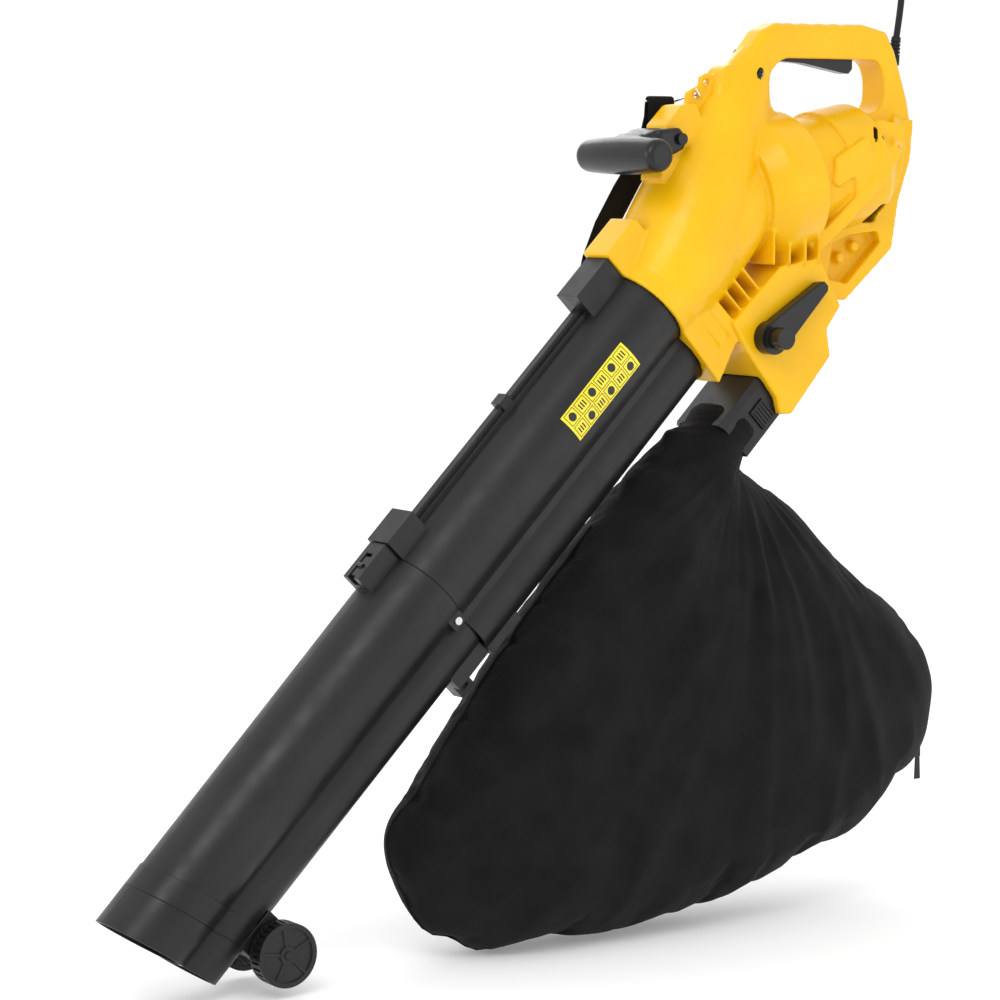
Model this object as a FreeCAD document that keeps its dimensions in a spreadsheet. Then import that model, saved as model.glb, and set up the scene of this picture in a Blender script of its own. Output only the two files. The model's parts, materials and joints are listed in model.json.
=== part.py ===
import FreeCAD, Part
import math
import os
import re

from FreeCAD import Placement, Rotation, Vector

# Electric blower-vac, in its working posture: the tubes slope down and forward at 45 degrees.
# Three frames are used. All three are placed by the middle of the main grip, the row's origin.
#   joint frame: the origin is where the two big tubes meet, X to the rear, Z up, -Y the left side
#   tube frame:  the joint frame turned so that X runs back along the tubes, Z square to them
#   fan frame:   the origin is the middle of the fan, X back along the motor's shaft

SIZES = {
    # overall
    "tube_tilt": 45,
    "lower_tube_length": 456,
    "upper_tube_length": 385,
    "neck_overlap": 24,
    # the big tube, for air in (and out of the fan when blowing)
    "big_tube_radius": 50,
    "nozzle_radius": 45.5,
    "tube_wall": 2.6,
    "nozzle_slant": 12,
    "nozzle_ring_width": 47,
    "nozzle_band_width": 25,
    "spigot_length": 24,
    "slip": 0.3,
    # the small tube below it
    "small_tube_radius": 31.5,
    "small_nozzle_radius": 30,
    "small_tube_drop": 59,
    "small_socket_radius": 35,
    "small_socket_drop": 66,
    # wheels
    "wheel_radius": 32,
    "wheel_width": 20,
    "wheel_track": 82,
    "axle_radius": 4,
    "axle_clearance": 0.08,
    "axle_back": 371,
    "axle_drop": 110,
    # fan and motor
    "fan_tilt": 11,
    "fan_case_radius": 77,
    "fan_case_front": 34,
    "fan_case_back": 36,
    "motor_case_radius": 67,
    "motor_case_length": 92,
    "impeller_radius": 66,
    "shaft_radius": 4,
    "bearing_radius": 11,
    "bearing_width": 7,
    "stator_radius": 46,
    "stator_length": 50,
    "armature_radius": 26.5,
    # housing
    "housing_wall": 3,
    "grip_half_width": 19,
    "grip_thickness": 38,
    "frame_half_width": 24,
    "selector_half_width": 52,
    # bag port
    "port_half_width": 42,
    "port_height": 48,
    "port_wall": 2.5,
    "bag_half_width": 82,
    "bag_wall": 1.2,
    # front handle
    "bar_length": 132,
    "bar_radius": 17,
    # strap and its lugs
    "lug_thickness": 7,
    "lug_hole_radius": 3.5,
    "webbing_width": 38,
    "webbing_thickness": 3,
    # cord
    "cord_radius": 3.6,
}

doc = FreeCAD.newDocument("blower_vac")
sheet = doc.addObject("Spreadsheet::Sheet", "Sizes")
for row, (alias, value) in enumerate(SIZES.items(), start=1):
    sheet.set(f"A{row}", alias)
    sheet.set(f"B{row}", str(value))
    sheet.setAlias(f"B{row}", alias)
doc.recompute()


def size(alias):
    """A driving dimension, as the sheet holds it."""
    return float(sheet.get(alias))


# ---------------------------------------------------------------- frames

X, Y, Z = Vector(1, 0, 0), Vector(0, 1, 0), Vector(0, 0, 1)
GRIP_MIDDLE = Vector(500, 0, 551)
FAN_MIDDLE = Vector(430, 0, 397)
JOINT_FRAME = Placement(-GRIP_MIDDLE, Rotation())
TUBE_TURN = Placement(Vector(), Rotation(Y, -size("tube_tilt")))
TUBE_FRAME = JOINT_FRAME.multiply(TUBE_TURN)
FAN_TURN = Placement(FAN_MIDDLE, Rotation(Y, -size("fan_tilt")))
FAN_FRAME = JOINT_FRAME.multiply(FAN_TURN)

# ---------------------------------------------------------------- building blocks

pieces = []


def formula(text):
    """An expression that reads the sheet: a size's name gets the sheet's name in front."""
    return re.sub(r"[a-z_]+", lambda word: f"Sizes.{word.group()}" if word.group() in SIZES
                  else word.group(), str(text))


def seat(thing, start):
    for side, place in zip("xyz", start):
        thing.setExpression(f"Placement.Base.{side}", formula(place))


def block(name, x, y, z):
    """A box between two formulas on each axis."""
    thing = doc.addObject("Part::Box", name)
    for edge, (low, high) in zip(("Length", "Width", "Height"), (x, y, z)):
        thing.setExpression(edge, formula(f"({high}) - ({low})"))
    seat(thing, (x[0], y[0], z[0]))
    return thing


def rod(name, radius, start, length, axis=X):
    """A cylinder that starts at a point and runs along an axis."""
    thing = doc.addObject("Part::Cylinder", name)
    thing.setExpression("Radius", formula(radius))
    thing.setExpression("Height", formula(length))
    thing.Placement = Placement(Vector(), Rotation(Z, axis))
    seat(thing, start)
    return thing


def taper(name, radius, end_radius, start, length, axis=X):
    """A cone that starts at a point and runs along an axis."""
    thing = doc.addObject("Part::Cone", name)
    thing.setExpression("Radius1", formula(radius))
    thing.setExpression("Radius2", formula(end_radius))
    thing.setExpression("Height", formula(length))
    thing.Placement = Placement(Vector(), Rotation(Z, axis))
    seat(thing, start)
    return thing


def fuse(name, *things):
    thing = doc.addObject("Part::MultiFuse", name)
    thing.Shapes = list(things)
    thing.Refine = True
    return thing


def cut(name, base, *tools):
    thing = doc.addObject("Part::Cut", name)
    thing.Base = base
    thing.Tool = tools[0] if len(tools) == 1 else fuse(name + "_tools", *tools)
    return thing


def common(name, base, tool):
    thing = doc.addObject("Part::Common", name)
    thing.Base = base
    thing.Tool = tool
    return thing


def group(name, *things):
    """Several equal solids that share one node."""
    thing = doc.addObject("Part::Compound", name)
    thing.Links = list(things)
    return thing


def keep(label, thing, frame):
    """The finished sub-part: its label names its file, its placement sets it in the row's frame."""
    doc.recompute()
    local = Placement(thing.Placement)
    for side in "xyz":
        thing.setExpression(f"Placement.Base.{side}", None)
    thing.Placement = frame.multiply(local)
    thing.Label = label
    pieces.append(thing)
    return thing


def solid(label, shape, frame):
    """A sub-part whose form is built with Part's own functions."""
    thing = doc.addObject("Part::Feature", label + "_form")
    thing.Shape = shape
    return keep(label, thing, frame)


# ---------------------------------------------------------------- shapes for the moulded shells


def slab(x, y, z):
    """A plain box shape between two numbers on each axis."""
    corner = Vector(x[0], y[0], z[0])
    return Part.makeBox(x[1] - x[0], y[1] - y[0], z[1] - z[0], corner)


def drum(radius, x, z=0, end_radius=None):
    """A cylinder or cone shape along X."""
    start, length = Vector(x[0], 0, z), x[1] - x[0]
    if end_radius is None or abs(end_radius - radius) < 1e-6:
        return Part.makeCylinder(radius, length, start, X)
    return Part.makeCone(radius, end_radius, length, start, X)


def prism(points, half_width, rounding=0):
    """An outline in the XZ plane, as thick to both sides, its rims rounded if asked."""
    corners = [Vector(x, -half_width, z) for x, z in points]
    face = Part.Face(Part.makePolygon(corners + corners[:1]))
    shape = face.extrude(Vector(0, 2 * half_width, 0))
    if not rounding:
        return shape
    rims = [edge for edge in shape.Edges
            if abs(abs(edge.CenterOfMass.y) - half_width) < 1e-6]
    return shape.makeFillet(rounding, rims)


def soften(points, rounding, steps=5):
    """The outline with each corner turned into a short arc of chords."""
    out = []
    for before, corner, after in zip(points[-1:] + points[:-1], points, points[1:] + points[:1]):
        here = Vector(corner[0], corner[1], 0)
        back = Vector(before[0], before[1], 0) - here
        on = Vector(after[0], after[1], 0) - here
        reach = min(rounding, 0.45 * back.Length, 0.45 * on.Length)
        start = here + back.normalize() * reach
        end = here + on.normalize() * reach
        for step in range(steps + 1):
            share = step / steps
            bend = start * (1 - share) ** 2 + here * 2 * share * (1 - share) + end * share ** 2
            out.append((bend.x, bend.y))
    return out


def oval(centre, normal, across, high):
    """A closed oval wire: `across` to each side along Y, `high` up and down, square to normal."""
    up = Vector(-normal.z, 0, normal.x)
    points = []
    for turn in range(24):
        angle = 2 * math.pi * turn / 24
        points.append(centre + Y * (across * math.cos(angle)) + up * (high * math.sin(angle)))
    curve = Part.BSplineCurve()
    curve.interpolate(points, PeriodicFlag=True)
    return Part.Wire([curve.toShape()])


def loft(wires):
    return Part.makeLoft(wires, True, False)


def joined(shapes):
    whole = shapes[0]
    for shape in shapes[1:]:
        whole = whole.fuse(shape)
    return whole


def turned(shape, placement):
    copy = shape.copy()
    copy.Placement = placement.multiply(copy.Placement)
    return copy


TUBE_AXIS = Vector(math.cos(math.radians(size("tube_tilt"))), 0,
                   math.sin(math.radians(size("tube_tilt"))))
TUBE_NORMAL = Vector(-TUBE_AXIS.z, 0, TUBE_AXIS.x)
FAN_AXIS = Vector(math.cos(math.radians(size("fan_tilt"))), 0,
                  math.sin(math.radians(size("fan_tilt"))))


def on_tube(along, up):
    """A point of the tube frame's XZ plane, in the joint frame."""
    return TUBE_AXIS * along + TUBE_NORMAL * up


# ---------------------------------------------------------------- lower tube


def oblique(position, thickness):
    """A slanted slab square to the nozzle's slanted end, `position` along the tube's axis."""
    box = slab((0, thickness), (-90, 90), (-150, 120))
    return turned(box, Placement(Vector(position, 0, 0), Rotation(Y, -size("nozzle_slant"))))


def lower_tube():
    length = size("lower_tube_length")
    reach = length + 40
    big, end = size("big_tube_radius"), size("nozzle_radius")
    end_far = end - (big - end) * 40 / length
    small, small_end = size("small_tube_radius"), size("small_nozzle_radius")
    small_far = small_end - (small - small_end) * 40 / length
    wall, drop, slip = size("tube_wall"), size("small_tube_drop"), size("slip")

    def pair(grow):
        return (drum(end_far + grow, (-reach, -slip), 0, big + grow),
                drum(small_far + grow, (-reach, -slip), -drop, small + grow))

    big_out, small_out = pair(0)
    outer = big_out.fuse(small_out)
    ring_big, ring_small = pair(1.2)
    ring = oblique(-length, size("nozzle_ring_width"))
    band = oblique(-length + size("nozzle_ring_width") + 1.5, size("nozzle_band_width"))
    swelling = ring_big.fuse(ring_small)
    outer = joined([outer, swelling.common(ring), swelling.common(band)])
    outer = joined([
        outer,
        slab((-46, -slip), (-14, 14), (big - 8, 69)),
        slab((-50, -slip), (-24, 24), (-drop - small - 5, -drop)),
        slab((-18, -slip), (-43, 43), (-40, -26)),
    ])
    outer = outer.cut(slab((-47, -14), (-6, 6), (57, 77)))
    lip = oblique(-length - 160, 160)
    outer = outer.cut(lip)
    big_in, small_in = pair(-wall)
    hollow = big_in.fuse(small_in.cut(big_out))
    shell = outer.cut(hollow).cut(across(2, Vector(-9, 0, -33), 50))
    spigot = drum(big - wall - slip, (-12, size("spigot_length")))
    collar = drum(big - wall / 2, (-12, -slip))
    bore = drum(big - 2 * wall - slip, (-13, size("spigot_length") + 1))
    return shell.fuse(spigot.fuse(collar).cut(bore))


# ---------------------------------------------------------------- upper tube


def upper_tube():
    slip, wall = size("slip"), size("tube_wall")
    big, small = size("big_tube_radius"), size("small_socket_radius")
    drop = size("small_socket_drop")
    end = size("upper_tube_length")
    deep = end + size("neck_overlap") - slip
    outer = joined([
        drum(big, (slip, deep)),
        drum(small, (slip, end + 8), -drop),
        slab((slip, end - slip), (-30, 30), (-drop, -30)),
        slab((slip, 42), (-19, 19), (big - 8, 71)),
        slab((40, 350), (-5, 5), (big - 4, 59)),
        slab((40, 350), (-9, 9), (big - 4, 54)),
        slab((192, 206), (-8, 8), (big - 4, 64)),
        slab((330, end - slip), (-18, 18), (big - 8, 77)),
        slab((slip, 50), (-26, 26), (-drop - small + 1, -drop)),
    ])
    bore = drum(big - wall, (0, deep + 1))
    small_bore = drum(small - wall, (0, end + 9), -drop)
    core = drum(big, (0, deep + 1))
    return outer.cut(bore.fuse(small_bore.cut(core)))


def half(shape, side):
    """The half of a shape that lies on one side of the middle plane: -1 left, 1 right."""
    y = (-400, 0) if side < 0 else (0, 400)
    return shape.common(slab((-900, 900), y, (-900, 900)))


def safety_label():
    """A blank sticker on the left of the big tube, half a millimetre thick."""
    big = size("big_tube_radius")
    ring = drum(big + 0.5, (216, 322)).cut(drum(big + 0.02, (215, 323)))
    edges = [Vector(215, -90 * math.sin(turn), 90 * math.cos(turn))
             for turn in (math.radians(67), math.radians(105))]
    corner = Vector(215, 0, 0)
    wedge = Part.Face(Part.makePolygon([corner, edges[0], edges[1], corner])).extrude(X * 110)
    return ring.common(wedge)


# ---------------------------------------------------------------- housing

NECK_START = size("upper_tube_length")
SELECTOR_PIVOT = (453, -112)
LUG_HOLE = Vector(343, 0, 494)
SPARE_LUG_HOLE = Vector(355.5, 0, 507)
HANDLE_PIVOT = Vector(304, 0, 448)
TRIGGER_PIN = Vector(456, 0, 540)
DIAL_MIDDLE = Vector(410, -8, 514)
DIAL_AXIS = Vector(-math.sin(math.radians(60)), 0, math.cos(math.radians(60)))
SELECTOR_OUTLINE = [(433, -69), (519, -73), (563, -105), (546, -162), (516, -166), (499, -190),
                    (420, -195), (409, -184), (418, -168), (425, -104)]
SELECTOR_ROOM = [(438, -73), (517, -77), (557, -105), (542, -158), (513, -162), (497, -186),
                 (424, -190), (424, -168), (430, -104)]
HANDLE_OUTLINE = [(350, 470), (362, 508), (392, 527), (422, 563), (440, 571), (560, 572),
                  (592, 565), (604, 545), (623, 492), (630, 459), (620, 427), (604, 383),
                  (597, 331), (532, 277), (500, 279), (456, 321), (470, 420), (400, 440)]
HANDLE_OPENING = [(446, 534), (428, 519), (424, 495), (434, 478), (457, 462), (573, 476),
                  (585, 488), (587, 510), (579, 534)]
LOWER_FRAME = [(470, 342), (590, 470), (624, 470), (620, 427), (604, 383), (595, 331),
               (530, 276), (500, 279), (456, 321)]
CHEEK = [(500, 360), (530, 378), (570, 381), (586, 405), (593, 440), (590, 464), (555, 470),
         (520, 430)]
STRUT = [((466, 332), 46), ((500, 366), 60), ((535, 402), 70), ((570, 438), 62), ((604, 472), 22)]
CORD_EXIT = Vector(618.5, 0, 560)
CORD_HEADING = Vector(5.5, 0, 30).normalize()
BOOT_LENGTH = 30
HOUSING_SCREWS = [(408, 540), (600, 548), (612, 455), (588, 345), (480, 566)]


def spine(inset):
    """From the neck up to the front of the main grip."""
    return loft([
        oval(on_tube(NECK_START + 17, 0), TUBE_AXIS, 54.8 - inset, 54.8 - inset),
        oval(on_tube(NECK_START + 90, 10), TUBE_AXIS, 66 - inset, 68 - inset),
        oval(on_tube(NECK_START + 190, 38), TUBE_AXIS, 48 - inset, 58 - inset),
        oval(on_tube(NECK_START + 290, 76), TUBE_AXIS, 20 - inset, 22 - inset),
    ])


def shoulder(inset):
    """From the neck round to the front of the fan case."""
    case = size("fan_case_radius") - 20 - inset
    return loft([
        oval(on_tube(NECK_START + 10, 0), TUBE_AXIS, 54.5 - inset, 54.5 - inset),
        oval(Vector(345, 0, 345), Vector(math.cos(0.5), 0, math.sin(0.5)), 62 - inset, 62 - inset),
        oval(FAN_MIDDLE - FAN_AXIS * (size("fan_case_front") - 4), FAN_AXIS, case, case),
    ])


def strut():
    """The raised band that runs across the motor case from the selector box to the handle."""
    wires = []
    for (x, z), half_width in STRUT:
        out = TUBE_NORMAL * 8
        middle = Vector(x, 0, z)
        corners = [middle + out + Y * half_width, middle + out - Y * half_width,
                   middle - out - Y * half_width, middle - out + Y * half_width]
        wires.append(Part.makePolygon(corners + corners[:1]))
    return Part.makeLoft(wires, True, True)


def fan_case(inset):
    """The drum round the impeller: a slanted front face and a slightly tapered rim."""
    front, back = size("fan_case_front"), size("fan_case_back")
    rim = size("fan_case_radius") - inset
    edge = -front + 23
    face = drum(rim - 12, (-front + inset, edge), 0, rim)
    return turned(face.fuse(drum(rim, (edge, back - inset), 0, rim - 4)), FAN_TURN)


def motor_case(inset):
    back = size("fan_case_back")
    length = size("motor_case_length")
    wide = size("motor_case_radius")
    step = back + 42
    parts = [
        drum(wide - 5 - inset, (back - 6, step + inset + 1)),
        drum(wide - inset, (step + inset, back + length)),
        drum(wide - inset, (back + length - 0.01, back + length + 30 - inset), 0, 44 - inset),
    ]
    return turned(joined(parts), FAN_TURN)


def neck(inset):
    return turned(drum(56 - inset, (NECK_START, NECK_START + 40)), TUBE_TURN)


def cord_boot():
    """The strain relief's plain outer form, which the housing holds by its root."""
    return Part.makeCone(7.5, 5, BOOT_LENGTH, CORD_EXIT - CORD_HEADING * BOOT_LENGTH,
                         CORD_HEADING)


def across(radius, centre, half_width):
    """A cylinder shape along Y, as long to both sides."""
    return Part.makeCylinder(radius, 2 * half_width, centre - Y * half_width, Y)


def housing_outside():
    opening = prism(soften(HANDLE_OPENING, 14), 60)
    handle = prism(HANDLE_OUTLINE, size("grip_half_width"), 10).cut(opening)
    lower_frame = prism(LOWER_FRAME, size("frame_half_width"))
    lugs = prism([(328, 478), (331, 497), (341, 502), (347, 504), (348, 513), (356, 517),
                  (370, 514), (374, 490), (350, 470)], size("lug_thickness") / 2)
    return joined([
        spine(0).fuse(shoulder(0)).cut(opening),
        neck(0),
        turned(slab((NECK_START, NECK_START + 52), (-22, 22), (30, 82)), TUBE_TURN),
        turned(prism([(385, -30), (436, -30), (433, -80), (427, -91), (380, -105)], 45), TUBE_TURN),
        handle,
        lower_frame,
        prism(CHEEK, 48),
        strut(),
        turned(prism(SELECTOR_OUTLINE, size("selector_half_width")), TUBE_TURN),
        fan_case(0),
        motor_case(0),
        prism([(285, 405), (292, 462), (314, 484), (332, 485), (352, 440), (330, 405)], 18),
        lugs,
        across(14, Vector(381, 0, 512), 14),
    ])


def housing_inside():
    wall = size("housing_wall")
    opening = prism(soften(HANDLE_OPENING, 14), 60)
    grip_room = prism([(425, 541), (430, 562), (558, 564), (578, 557), (560, 541)],
                      size("grip_half_width") - wall)
    room = [
        spine(wall).fuse(shoulder(wall)).cut(prism([(430, 530), (430, 440), (600, 470),
                                                     (600, 530)], 60)).cut(opening),
        neck(9),
        fan_case(wall),
        motor_case(wall),
        turned(prism(SELECTOR_ROOM, size("selector_half_width") - wall), TUBE_TURN),
        turned(drum(size("small_socket_radius") - size("tube_wall"),
                    (NECK_START + 12, NECK_START + 56), -size("small_socket_drop")), TUBE_TURN),
        grip_room,
    ]
    return joined(room)


def housing_openings():
    """What is cut through the walls: sockets, slots, vents and the handle's small window."""
    slip = size("slip")
    tube_end = NECK_START + size("neck_overlap")
    drop = size("small_socket_drop")
    port = size("port_half_width") + slip
    cuts = [
        turned(drum(size("big_tube_radius") + slip, (NECK_START - 20, tube_end)), TUBE_TURN),
        turned(drum(size("small_socket_radius") + slip, (NECK_START - 20, NECK_START + 12), -drop),
               TUBE_TURN),
        turned(slab((NECK_START - 20, NECK_START), (-31, 31), (-drop, -20)), TUBE_TURN),
        turned(slab((400, 436), (-port, port), (-189 - slip, -141 + slip)), TUBE_TURN),
        slab((449, 552.5), (-8.6, 8.6), (525, 541.5)),
        across(2, TRIGGER_PIN, size("grip_half_width") - size("housing_wall")),
        Part.makeCylinder(16.4, 7.4, DIAL_MIDDLE - DIAL_AXIS * 3.7, DIAL_AXIS),
        across(size("lug_hole_radius"), LUG_HOLE, 20),
        across(size("lug_hole_radius"), SPARE_LUG_HOLE, 20),
        turned(across(5.06, Vector(SELECTOR_PIVOT[0], 0, SELECTOR_PIVOT[1]), 60), TUBE_TURN),
        across(3.1, HANDLE_PIVOT, 30),
        prism(soften([(544, 360), (570, 360), (574, 377), (556, 380)], 4), 60),
    ]
    for row in range(4):
        start = Vector(546 + 7 * row, 0, 392 + 12 * row)
        slot = slab((0, 26 - 3 * row), (-60, 60), (0, 3.4))
        cuts.append(turned(slot, Placement(start, Rotation(Y, -52))))
    for x, z in HOUSING_SCREWS:
        cuts.append(Part.makeCylinder(4.4, 40, Vector(x, 13, z), Y))
        cuts.append(Part.makeCylinder(1.95, 25, Vector(x, 13.5, z), -Y))
    for row in range(2):
        slot = slab((0, 4), (-60, 60), (0, 24 - 4 * row))
        cuts.append(turned(slot, Placement(Vector(535 + 10 * row, 0, 440 - 3 * row),
                                           Rotation(Y, 22))))
    return cuts


def cradle():
    """Ribs in the case that hold the stator and the bearings' plates."""
    ribs = []
    start = size("stator_radius") + 0.15
    for turn in (45, 135, 225, 315):
        rib = slab((60, 84), (-2, 2), (start, size("motor_case_radius") - 7))
        rib = rib.fuse(slab((82, 110), (-2, 2), (start, size("motor_case_radius") - 1)))
        rib = turned(rib, Placement(Vector(), Rotation(X, turn)))
        ribs.append(turned(rib, FAN_TURN))
    return ribs


def pocket():
    """The recess with two screw bosses in the frame's lower corner."""
    half_width = size("frame_half_width")
    hollow = prism([(512, 338), (535, 346), (574, 350), (578, 338), (532, 294), (505, 300)],
                   half_width)
    hollow = hollow.cut(slab((400, 700), (-half_width + 14, half_width - 14), (200, 400)))
    for x, z in ((526, 322), (546, 334)):
        hollow = hollow.cut(across(6, Vector(x, 0, z), half_width - 3))
    return hollow


def housing():
    shell = housing_outside().cut(housing_inside())
    shell = joined([shell] + cradle()).cut(cord_boot())
    for tool in housing_openings():
        shell = shell.cut(tool)
    return shell.cut(pocket())


# ---------------------------------------------------------------- small parts of the tubes


def wheel():
    """A hard plastic wheel about Y, its middle at the origin, with a ribbed tread."""
    radius, wide = size("wheel_radius"), size("wheel_width") / 2
    shape = across(radius, Vector(), wide).cut(across(size("axle_radius")
                                                      + size("axle_clearance"), Vector(), 20))
    for side in (-1, 1):
        face = Part.makeCylinder(radius - 5, 2, Y * (side * wide), Y * -side)
        hub = Part.makeCylinder(9, 2, Y * (side * wide), Y * -side)
        shape = shape.cut(face.cut(hub))
    for turn in range(30):
        notch = slab((radius - 1.6, radius + 2), (-wide + 3, wide - 3), (-1.3, 1.3))
        shape = shape.cut(turned(notch, Placement(Vector(), Rotation(Y, 12 * turn))))
    for turn in range(5):
        spoke = slab((7, radius - 4), (-wide + 0.6, wide - 0.6), (-1.6, 1.6))
        shape = shape.fuse(turned(spoke, Placement(Vector(), Rotation(Y, 72 * turn + 18))))
    return shape


def make_wheels():
    back, drop = -size("axle_back"), -size("axle_drop")
    track = size("wheel_track") / 2
    for side, label in ((-1, "wheel_left"), (1, "wheel_right")):
        thing = doc.addObject("Part::Feature", label + "_form")
        thing.Shape = turned(wheel(), Placement(Vector(back, side * track, drop), Rotation()))
        keep(label, thing, TUBE_FRAME)
    axle = rod("axle", "axle_radius", ("-axle_back", "-wheel_track / 2 - wheel_width / 2 - 1",
                                       "-axle_drop"), "wheel_track + wheel_width + 2", Y)
    keep("wheel_axle", axle, TUBE_FRAME)
    foot = block("foot", ("-axle_back - 22", "-axle_back + 24"), (-27, 27),
                 ("-axle_drop - 9", "-small_tube_drop"))
    small = rod("foot_seat", "small_tube_radius + 0.1", ("-lower_tube_length", 0,
                                                          "-small_tube_drop"),
                "lower_tube_length", X)
    gap = block("foot_gap", ("-axle_back - 30", "-axle_back - 8"), (-14, 14), ("-axle_drop - 12",
                                                                        "-small_tube_drop - 36"))
    bore = rod("foot_bore", "axle_radius", ("-axle_back", -40, "-axle_drop"), 80, Y)
    keep("wheel_bracket", cut("bracket", foot, small, gap, bore), TUBE_FRAME)


def make_joint_parts():
    latch = block("latch_block", (-42, -18), (-5.6, 5.6), (62, 68))
    ridge = block("latch_ridge", (-32, -28), (-5.6, 5.6), (67, 71))
    keep("tube_latch", fuse("latch", latch, ridge), TUBE_FRAME)
    under = "-small_tube_drop - small_tube_radius"
    hook = block("hook_block", (-49, -29), (-9, 9), (f"{under} - 23", f"{under} - 5"))
    slot = block("hook_slot", (-44, -34), (-10, 10), (f"{under} - 18", f"{under} - 9"))
    keep("bag_hook", cut("hook", hook, slot), TUBE_FRAME)
    screws = []
    for side, word in ((-1, "left"), (1, "right")):
        shank = rod(f"shank_{word}", 2, (-9, 38.4 * side, -33), 4.6, Y * side)
        head = rod(f"head_{word}", 4, (-9, 43 * side, -33), 2.4, Y * side)
        screws.append(fuse(f"screw_{word}", shank, head))
    keep("joint_screws", group("screws", *screws), TUBE_FRAME)


# ---------------------------------------------------------------- fan and motor


def impeller():
    """A back plate, a hub and curved vanes, all about the shaft."""
    radius = size("impeller_radius")
    shape = drum(radius, (10, 12.5)).fuse(drum(13, (-20, 12.5)))
    for turn in range(9):
        vane = slab((-18, 10.5), (-1, 1), (11, radius - 1))
        nose = prism([(-19, 10), (-19, 40), (-2, 10)], 2)
        vane = vane.cut(prism([(-19, 30), (-19, radius + 1), (-4, radius + 1)], 3))
        vane = turned(vane, Placement(Vector(), Rotation(X, 40 * turn)))
        shape = shape.fuse(vane)
    return shape.cut(drum(size("shaft_radius"), (-30, 20)))


def make_rotor():
    solid("impeller", impeller(), FAN_FRAME)
    blade = block("blade_bar", (-23, -20.2), (-7, 7), (-30, 30))
    hole = rod("blade_hole", "shaft_radius", (-30, 0, 0), 20)
    keep("shredder_blade", cut("blade", blade, hole), FAN_FRAME)
    nut = doc.addObject("Part::Prism", "nut")
    nut.Polygon = 6
    nut.setExpression("Circumradius", "7.5")
    nut.setExpression("Height", "6")
    nut.Placement = Placement(Vector(-29.1, 0, 0), Rotation(Z, X))
    bore = rod("nut_bore", "shaft_radius", (-32, 0, 0), 12)
    keep("impeller_nut", cut("nut_cut", nut, bore), FAN_FRAME)
    keep("motor_shaft", rod("shaft", "shaft_radius", (-31, 0, 0), 174), FAN_FRAME)
    core = rod("armature_core", "armature_radius", (62, 0, 0), "stator_length - 4")
    bore = rod("armature_bore", "shaft_radius", (50, 0, 0), 90)
    slots = []
    for turn in range(12):
        slot = slab((61, 109), (-1.2, 1.2), (16, 40))
        slots.append(turned(slot, Placement(Vector(), Rotation(X, 30 * turn))))
    grooves = doc.addObject("Part::Feature", "armature_slots")
    grooves.Shape = Part.makeCompound(slots)
    keep("armature", cut("armature_cut", core, bore, grooves), FAN_FRAME)
    collar = rod("commutator_ring", 14, (114, 0, 0), 16)
    bore = rod("commutator_bore", "shaft_radius", (100, 0, 0), 50)
    keep("commutator", cut("commutator_cut", collar, bore), FAN_FRAME)


def bearing(label, start):
    ring = rod(label + "_ring", "bearing_radius", (start, 0, 0), "bearing_width")
    bore = rod(label + "_bore", "shaft_radius + 0.05", (start - 1, 0, 0), "bearing_width + 2")
    keep(label, cut(label + "_cut", ring, bore), FAN_FRAME)


def make_motor():
    plate_disc = rod("mount_disc", "fan_case_radius - housing_wall - 4", (24, 0, 0), 4)
    seat_ring = rod("mount_seat", "bearing_radius + 4", (28, 0, 0), 17)
    room = rod("mount_room", "bearing_radius", (38, 0, 0), 10)
    hole = rod("mount_hole", "shaft_radius + 1.5", (20, 0, 0), 30)
    keep("motor_mount_plate", cut("mount", fuse("mount_body", plate_disc, seat_ring), room, hole),
         FAN_FRAME)
    bearing("front_bearing", 38)
    bearing("rear_bearing", 134)
    ring = drum(size("stator_radius"), (60, 110)).cut(drum(34, (59, 111)))
    poles = joined([slab((60, 110), (-17, 17), (26, 36)), slab((60, 110), (-17, 17), (-36, -26))])
    core = ring.fuse(poles).cut(drum(size("armature_radius") + 0.6, (59, 111)))
    solid("stator", core, FAN_FRAME)
    coils = []
    for side in (-1, 1):
        loop = slab((53, 59.9), (-20, 20), (-7, 7)).fuse(slab((110.1, 113.5), (-20, 20), (-7, 7)))
        for end in loop.Solids:
            coils.append(turned(end, Placement(Vector(0, 0, side * 37), Rotation())))
    windings = doc.addObject("Part::Feature", "field_windings_form")
    windings.Shape = Part.makeCompound(coils)
    keep("field_windings", windings, FAN_FRAME)
    brushes, holders = [], []
    for side, word in ((-1, "left"), (1, "right")):
        brush = slab((119, 126), (14.15, 30), (-3, 3))
        holder = slab((116, 129), (17, 36), (-6, 6)).cut(slab((118.9, 126.1), (16, 37),
                                                               (-3.1, 3.1)))
        flip = Placement(Vector(), Rotation(X, 0 if side > 0 else 180))
        brushes.append(turned(brush, flip))
        holders.append(turned(holder, flip))
    for label, shapes in (("carbon_brushes", brushes), ("brush_holders", holders)):
        thing = doc.addObject("Part::Feature", label + "_form")
        thing.Shape = Part.makeCompound(shapes)
        keep(label, thing, FAN_FRAME)
    cross = slab((131, 134), (-54, 54), (-7, 7)).fuse(drum(size("bearing_radius") + 4, (131, 141)))
    cross = cross.cut(drum(size("bearing_radius"), (134, 150))).cut(drum(6, (120, 150)))
    solid("rear_bearing_bracket", cross, FAN_FRAME)
    keep("capacitor", rod("capacitor_can", 5.5, (98, 0, 53), 24), FAN_FRAME)


# ---------------------------------------------------------------- controls


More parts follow.
